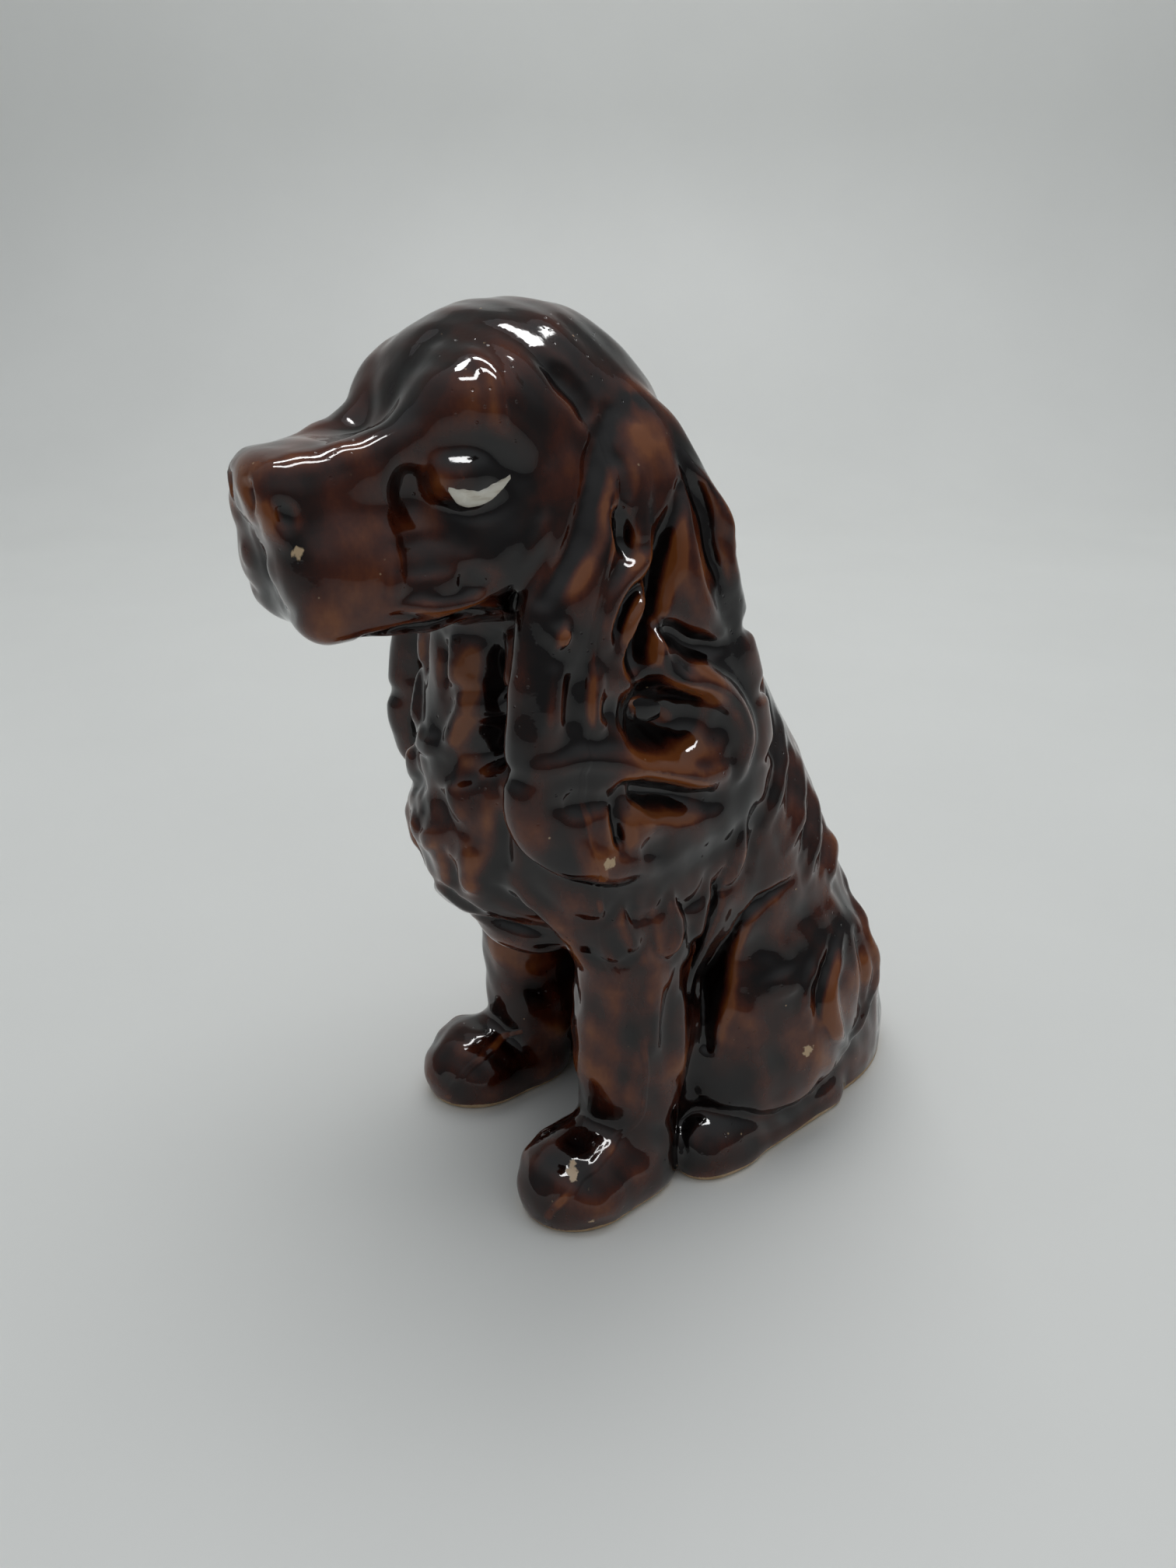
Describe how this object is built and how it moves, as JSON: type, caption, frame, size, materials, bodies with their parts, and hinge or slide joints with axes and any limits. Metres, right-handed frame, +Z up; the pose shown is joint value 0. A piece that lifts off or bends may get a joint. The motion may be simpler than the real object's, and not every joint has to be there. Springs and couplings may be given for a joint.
{
  "type": "seated dog figurine",
  "caption": "Hollow glazed earthenware figurine of a seated spaniel with long wavy ears, standing on a flat unglazed foot.",
  "frame": {"origin": "middle of the bounding box's underside, on the table under the figure", "axes": "+Z up, -Y the way the dog faces, +X the dog's left side"},
  "size_m": [0.0828, 0.1698, 0.1997],
  "materials": {
    "brown_glaze": "very glossy treacle-brown lead glaze, amber where it runs thin and near black where it pools",
    "bare_clay": "unglazed buff earthenware",
    "white_enamel": "brushed white enamel, glossy"
  },
  "bodies": {
    "root": {"head": "brown_glaze", "torso": "brown_glaze", "left_ear": "brown_glaze", "right_ear": "brown_glaze", "left_foreleg": "brown_glaze", "right_foreleg": "brown_glaze", "left_haunch": "brown_glaze", "right_haunch": "brown_glaze", "left_hind_paw": "brown_glaze", "right_hind_paw": "brown_glaze", "tail": "brown_glaze", "foot": "bare_clay", "left_eye_white": "white_enamel", "right_eye_white": "white_enamel"}
  },
  "joints": []
}
